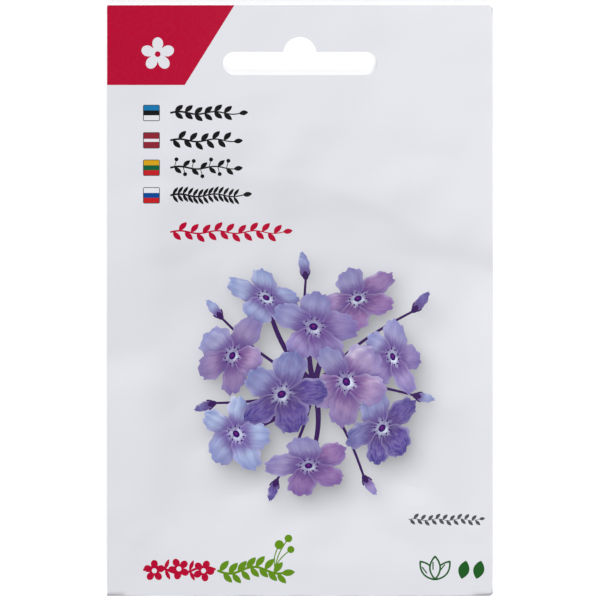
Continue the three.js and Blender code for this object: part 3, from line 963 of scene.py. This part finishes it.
def makePetalPaint():
    # veins run out along the petal, a pale eye lies by the throat, and the rim is a little lighter
    whole = {"Tint": (0.5, 0.4, 0.7, 1), "Place": (0.0, 0.0, 0.0), "Veins": 0.55, "Eye": 0.18}
    tree, given, result = newGroup("petalPaint", whole, "Colour")
    out, across, _ = addNode(tree, "SeparateXYZ", Vector=given["Place"]).outputs
    side = maths("ABSOLUTE", across)
    blotch = noise(tree, 5.0, vector=given["Place"])
    bent = maths("MULTIPLY_ADD", blotch, 0.5, maths("MULTIPLY", across, 3.4))
    stripe = maths("ABSOLUTE", maths("SINE", maths("MULTIPLY", bent, np.pi)))
    vein = maths("SUBTRACT", 1.0, maths("MULTIPLY", stripe, 3.2), clamp=True)
    fromThroat = maths("MULTIPLY", vein, ramp(out, 0.12, 5.0))
    veins = maths("MULTIPLY", fromThroat, maths("MULTIPLY", ramp(out, 0.98, -2.2), given["Veins"]))
    veined = blend("MULTIPLY", veins, given["Tint"], (0.40, 0.26, 0.62, 1))
    mottled = blend("MIX", ramp(blotch, 0.38, 0.9), veined, (0.48, 0.42, 0.64, 1))
    rimmed = blend("MIX", ramp(side, 0.72, 1.4), mottled, (0.52, 0.48, 0.70, 1))
    reach = maths("MULTIPLY_ADD", blotch, 0.22, given["Eye"])
    near = maths("SUBTRACT", reach, maths("MULTIPLY_ADD", side, 0.16, out))
    eye = maths("MULTIPLY", near, 7.0, clamp=True)
    feed(result, Colour=blend("MIX", eye, rimmed, (0.78, 0.86, 0.98, 1)))
    return tree


paperGrain, inkLay, petalPaint = makePaperGrain(), makeInkLay(), makePetalPaint()
tones = {
    "paper": tuple(rgb(213, 213.5, 218.5)),
    "inside": tuple(rgb(232, 232, 230)),
    # painted shade: the cut edge's grey is the white paper drawn as it looks in shadow, seen as a thin
    # dark line
    "edge": tuple(rgb(160, 160, 164)),
    "shadow": (0.02, 0.02, 0.022, 1),
    "petalShadow": (0.10, 0.06, 0.22, 1),
}


def grained(tree, colour, shine, rough, **more):  # the grain's tone, gloss and bump on a colour
    grain = addNode(tree, "Group", node_tree=paperGrain, Base_Roughness=rough, **more).outputs
    return {"Base_Color": blend("MULTIPLY", 1.0, colour, grain["Tone"]), "Roughness": grain["Roughness"],
            "Normal": embossed(grain["Height"], 0.25, 0.00002), "Specular_IOR_Level": shine}


def coatedPaper(tree):
    dark = maths("SUBTRACT", 1.0, attribute(tree, "printShade", "Fac"), clamp=True)
    return grained(tree, blend("MIX", dark, tones["paper"], tones["shadow"]), 0.28, 0.42)


def printedInk(tree):
    lay = addNode(tree, "Group", node_tree=inkLay, Colour=attribute(tree, "inkColour", "Color"))
    return grained(tree, lay.outputs["Colour"], 0.1, 0.4)


def petalInk(tree):
    place = addNode(tree, "UVMap", uv_map="petalPlace").outputs[0]
    tint, shade = attribute(tree, "inkColour", "Color"), attribute(tree, "printShade", "Fac")
    paint = addNode(tree, "Group", node_tree=petalPaint, Tint=tint, Place=place).outputs["Colour"]
    shaded = blend("MIX", maths("SUBTRACT", 1.0, shade, clamp=True), paint, tones["petalShadow"])
    lit = blend("MIX", maths("SUBTRACT", shade, 1.0, clamp=True), shaded, (1, 1, 1, 1))
    return grained(tree, lit, 0.15, 0.4)


def paperInside(tree):
    return grained(tree, tones["inside"], 0.3, 0.7, Tone_Change=0.08, Fibre_Scale=1900.0)


# painted shade: the cut edges take a dark grey in place of the paper's own white
def shadedPaperEdge(tree):
    return grained(tree, tones["edge"], 0.3, 0.85, Tone_Change=0.08, Fibre_Scale=1900.0)


# Closed sheets

def closedSheet(name, upper, lower, faces, materials):
    # Two layers of like points: the faces on the upper one, the same turned over on the lower one,
    # and walls along the cut edges, where the normals break.
    count = len(upper)
    edges = np.vstack([faces[:, [0, 1]], faces[:, [1, 2]], faces[:, [2, 0]]])
    _, first, times = np.unique(np.sort(edges, axis=1) @ (count, 1), return_index=True, return_counts=True)
    a, b = edges[first[times == 1]].T
    walls = np.vstack([np.column_stack([b, a, a + count]), np.column_stack([b, a + count, b + count])])
    whole = np.vstack([faces, faces[:, [0, 2, 1]] + count, walls])
    piece = addMesh(name, np.vstack([upper, lower]), whole.tolist(), materials)
    ends = np.empty(2 * len(piece.data.edges), np.int32)
    piece.data.edges.foreach_get("vertices", ends)
    key = lambda pairs: np.sort(pairs, axis=1).astype(np.int64) @ (2 * count, 1)
    cut = np.column_stack([a, b])
    sharp = np.isin(key(ends.reshape(-1, 2)), key(np.vstack([cut, cut + count])))
    piece.data.attributes.new("sharp_edge", "BOOLEAN", "EDGE").data.foreach_set("value", sharp)
    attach(piece, "root")
    return piece


# Wrapper: printed face, inside face and cut edge, in one closed sheet

def addWrapper():
    outer, inner = foldBlank(flat, 0.0), foldBlank(flat, paper["thickness"])
    finishes = (coatedPaper, printedInk, petalInk, paperInside, shadedPaperEdge)
    piece = closedSheet("packetWrapper", outer, inner, faces, [makeMaterial(each) for each in finishes])
    mesh = piece.data
    shown = np.full(len(mesh.polygons), 4, np.int32)
    shown[: 2 * len(faces)] = 3
    shown[: len(faces)] = np.array([["bare", "flat", "petal"].index(kind) for kind in inksAt])[top]
    mesh.polygons.foreach_set("material_index", shown)

    def fill(values, blank):  # values for the printed face's corners, blank for the others
        rows = np.reshape(values, (len(values), -1))
        whole = np.full((len(mesh.loops), rows.shape[1]), blank, np.float32)
        whole[: len(rows)] = rows
        return whole.ravel()

    colours = mesh.attributes.new("inkColour", "FLOAT_COLOR", "CORNER")
    colours.data.foreach_set("color", fill(cornerInk, 1.0))
    shades = mesh.attributes.new("printShade", "FLOAT", "CORNER")
    shades.data.foreach_set("value", fill(cornerShade, 1.0))
    mesh.uv_layers.new(name="petalPlace").data.foreach_set("uv", fill(cornerPetal, 0.0))
    mesh.update()
    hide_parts("wrapper")
    print(f"wrapper folded: {len(mesh.polygons)} faces")


addWrapper()

# Slabs: closed thin sheets between a lower and an upper height over a flat outline

def addSlab(name, outline, holes, pitch, lower, upper, material):
    loops = [turnedLeft(stepped(loop, pitch)) for loop in [outline] + holes]
    edge = pitch * 0.4
    (x0, y0), (x1, y1) = outline.min(0) + edge, outline.max(0) - edge
    place, cut, _ = cutOut(loops, lattice(x0, x1, y0, y1, pitch), 0)
    above, under = (np.column_stack([place, height(*place.T)]) for height in (upper, lower))
    return closedSheet(name, above, under, cut, [material])


def driedGlue(tree):
    blot = noise(tree, 420.0)
    return {"Base_Color": blend("MIX", blot, (0.80, 0.76, 0.62, 1), (0.90, 0.88, 0.80, 1)),
            "Roughness": maths("MULTIPLY_ADD", blot, 0.3, 0.2),
            "Normal": embossed(noise(tree, 900.0, 2.0), 0.4, 0.00003)}


glue = {"inset": 0.8, "gap": 0.3, "pitch": 1.6}
glueMaterial = makeMaterial(driedGlue)
glueBelow = lambda x, y: middleHeight(x, y) - halfGlue
glueAbove = lambda x, y: middleHeight(x, y) + halfGlue
inset, gap = glue["inset"], glue["gap"]
left, right, foot, head = inset - halfWidth, foldCentre - inset, inset - halfHeight, halfHeight - inset
glueBands = [
    ("sideSeamGlue", "side_seam_glue", (left, foot, pouchLeft - gap, pouchTop - gap), []),
    ("bottomSeamGlue", "bottom_seam_glue", (pouchLeft, foot, right, pouchBottom - gap), []),
    ("headerGlue", "header_glue", (left, pouchTop, right, head), [slotOutline(0, 0)]),
]
for name, node, band, holes in glueBands:
    film = addSlab(name, block(*band), holes, glue["pitch"], glueBelow, glueAbove, glueMaterial)
    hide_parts(node)
print("glue films laid")

# Inner sachet: two foils, welded flat with a crimped band round the edge

sachet = {"weld": 5.0, "shoulder": 6.0, "foil": 0.1, "crimp": 0.045, "crimpPitch": 1.8, "crimpEdge": 0.8,
          "wrinkle": 0.035, "wrinkleLength": 7.0, "wrinkleDepth": 1.2, "wrinkleSeed": 21,
          "sag": 0.15, "sagHeight": 8, "pitch": 0.6}
sachetLow, sachetHigh = boxOf("sachet_front")
backLow, backHigh = boxOf("sachet_back")
sachetWeld = (sachetLow[2] + backHigh[2]) / 2
sachetMiddle, sachetHalf = (sachetLow + sachetHigh)[:2] / 2, (sachetHigh - sachetLow)[:2] / 2


def sachetInside(x, y, margin=0.0):  # how far inside a margin round the edge, across and up
    sides = zip((x, y), sachetMiddle, sachetHalf)
    return [half - margin - np.abs(at - middle) for at, middle, half in sides]


def sachetFullness(x, y):
    inX, inY = sachetInside(x, y, sachet["weld"])
    return smooth(inX, sachet["shoulder"]) * smooth(inY, sachet["shoulder"])


def sachetSkin(side, depth):
    # side 1 is the front foil and -1 the back one; depth is measured inwards from its outer face.
    # The rise follows the fullness, wrinkled by waves, and the weld's crimp is a row of ridges.
    reach = sachetHigh[2] - sachetWeld if side > 0 else sachetWeld - backLow[2]
    sagTop = sachetMiddle[1] - sachetHalf[1] + sachet["sagHeight"]
    seed = sachet["wrinkleSeed"] + side

    def height(x, y):
        full = sachetFullness(x, y)
        weld = smooth(np.minimum(*sachetInside(x, y)), sachet["crimpEdge"]) * (full == 0)
        crimp = sachet["crimp"] * np.sin(2 * np.pi * (x + y) / sachet["crimpPitch"]) * weld
        creases = waves(x, y, sachet["wrinkleLength"], seed) - sachet["wrinkleDepth"]
        wrinkle = sachet["wrinkle"] * creases * full
        skin = side * (sachet["foil"] + (reach - sachet["foil"]) * full + wrinkle - depth)
        sag = sachet["sag"] * smooth(sagTop - y, sachet["sagHeight"])
        return sachetWeld + skin + crimp - sag + middleHeight(x, y) - rimMiddle  # bends with the wrapper
    return height


def makeFoilCrinkle():
    # sharp little facets of handled foil, and the faint lines of its rolling
    whole = {"Facet Scale": 260.0, "Line Scale": 2400.0, "Base Roughness": 0.24}
    tree, given, result = newGroup("foilCrinkle", whole, "Height", "Roughness")
    facets = addNode(tree, "TexVoronoi", Vector=onPiece(tree), Scale=given["Facet Scale"]).outputs[0]
    lines = noise(tree, given["Line Scale"], 2.0, vector=onPiece(tree, (1.0, 0.04, 0.3)))
    feed(result, Height=maths("MULTIPLY_ADD", lines, 0.15, facets),
         Roughness=maths("MULTIPLY_ADD", lines, 0.2, given["Base Roughness"]))
    return tree


def sachetFoil(tree):
    crinkle = addNode(tree, "Group", node_tree=makeFoilCrinkle()).outputs
    return {"Base_Color": blend("MIX", noise(tree, 90.0), (0.70, 0.72, 0.74, 1), (0.82, 0.83, 0.84, 1)),
            "Metallic": 0.92, "Roughness": crinkle["Roughness"],
            "Normal": embossed(crinkle["Height"], 0.5, 0.00008)}


foilMaterial = makeMaterial(sachetFoil)
sachetOutline = block(*(sachetMiddle - sachetHalf), *(sachetMiddle + sachetHalf))
for name, node, side in (("sachetFront", "sachet_front", 1), ("sachetBack", "sachet_back", -1)):
    inside, outside = sachetSkin(side, sachet["foil"]), sachetSkin(side, 0.0)
    below, above = (inside, outside)[::side]
    skin = addSlab(name, sachetOutline, [], sachet["pitch"], below, above, foilMaterial)
    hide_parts(node)
print("sachet closed")

# Fifty pelleted seeds, each a slightly lumpy ball

pellets = {"count": 50, "rings": 9, "around": 14, "lump": 0.05, "lumpSeed": 7, "lumpPitch": 2.6}


def pelletCoat(tree):
    dust, grain = noise(tree, 700.0), noise(tree, 4200.0, 4.0, 0.65)
    return {"Base_Color": blend("MIX", dust, (0.50, 0.33, 0.17, 1), (0.68, 0.52, 0.33, 1)),
            "Roughness": maths("MULTIPLY_ADD", grain, 0.2, 0.72), "Normal": embossed(grain, 0.6, 0.00004)}


def addPellets(count, rings, around, lump, lumpSeed, lumpPitch):
    # balls of rings from pole to pole: sines of the direction take up to the lump's share off a radius
    nodes = [f"seed_{i + 1:02d}" for i in range(count)]
    boxes = np.array([boxOf(node) for node in nodes])
    radius = (boxes[:, 1, 2] - boxes[:, 0, 2])[:, None, None] / 2
    up = np.pi * np.arange(1, rings + 1) / (rings + 1)
    turn = 2 * np.pi * np.arange(around) / around
    axes = ((np.sin(up), np.cos(turn)), (np.sin(up), np.sin(turn)), (np.cos(up), np.ones(around)))
    ring = np.stack([np.outer(*pair) for pair in axes], axis=-1).reshape(-1, 3)
    ways = np.vstack([ring, [[0, 0, 1], [0, 0, -1]]])
    lean = np.random.default_rng(lumpSeed).normal(size=(count, 3, 3))
    swing = np.sin(lumpPitch * np.einsum("vk,nkj->nvj", ways, lean)).mean(axis=2)
    points = boxes.mean(axis=1)[:, None, :] + ways * radius * (1 - lump * (1 + swing[:, :, None]) / 2)
    i = np.arange(rings - 1)[:, None] * around
    j = np.arange(around)[None, :]
    k = (j + 1) % around
    quads = np.stack([i + j, i + j + around, i + k + around, i + k], axis=-1).reshape(-1, 4).tolist()
    north, south, last = len(ring), len(ring) + 1, (rings - 1) * around
    caps = [[north, a, b] for a, b in zip(j[0], k[0])]
    caps += [[south, last + b, last + a] for a, b in zip(j[0], k[0])]
    each = [[n * len(ways) + corner for corner in face] for n in range(count) for face in quads + caps]
    piece = addMesh("seedPellets", points.reshape(-1, 3), each, [makeMaterial(pelletCoat)])
    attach(piece, "root")
    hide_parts(*nodes)


addPellets(**pellets)
print("seeds placed")

# Floor, lights and camera

floor = {"half": 3.0, "tone": 0.94, "change": 0.01, "glow": 0.33}


def paleFloor(tree):
    greys = [(tone, tone, tone, 1) for tone in (floor["tone"], floor["tone"] + floor["change"])]
    tone = blend("MIX", noise(tree, 30.0), *greys)
    return {"Base_Color": tone, "Emission_Color": tone, "Emission_Strength": floor["glow"],
            "Roughness": 0.9, "Specular_IOR_Level": 0.0}


reach = floor["half"] / mm
floorCorners = np.column_stack([block(-reach, -reach, reach, reach), np.zeros(4)])
floorPiece = addMesh("studioFloor", floorCorners, [(0, 1, 2, 3)], [makeMaterial(paleFloor)])

lights = [  # name, place, size, power, colour
    ("keyLight", (0.5, -7.0, 3.8), 7.0, 858.0, (1.0, 1.0, 1.0)),
    ("fillLight", (-2.2, 1.9, 3.2), 3.0, 30.0, (0.92, 0.95, 1.0)),
    ("topLight", (0.17, 0.12, 0.45), 0.3, 1.01, (1.0, 1.0, 1.0)),
]
for name, place, size, power, colour in lights:
    lamp = bpy.data.lights.new(name, "AREA")
    lamp.shape = "DISK"
    lamp.size = size
    lamp.energy = power
    lamp.color = colour
    holder = addObject(name, lamp)
    holder.location = place
    holder.rotation_euler = (-Vector(place)).to_track_quat("-Z", "Y").to_euler()
    holder.visible_camera = False
world = bpy.data.worlds.new("studioWorld")
world.use_nodes = True
feed(world.node_tree.nodes["Background"], Color=(0.98, 0.99, 1.0, 1), Strength=0.15)
bpy.context.scene.world = world

view = {"lens": 260.45, "sensor": 36, "nearest": 0.01, "distance": 0.9, "x": 0.0, "y": 0.00013}
camera = bpy.data.cameras.new("frontCamera")
camera.sensor_width = view["sensor"]
camera.lens = view["lens"]
camera.clip_start = view["nearest"]
cameraHolder = addObject("frontCamera", camera)
cameraHolder.location = (view["x"], view["y"], view["distance"] + (rimMiddle + rimHalf) * mm)
bpy.context.scene.camera = cameraHolder
bpy.context.scene.view_settings.view_transform = "Standard"
print("stage set")
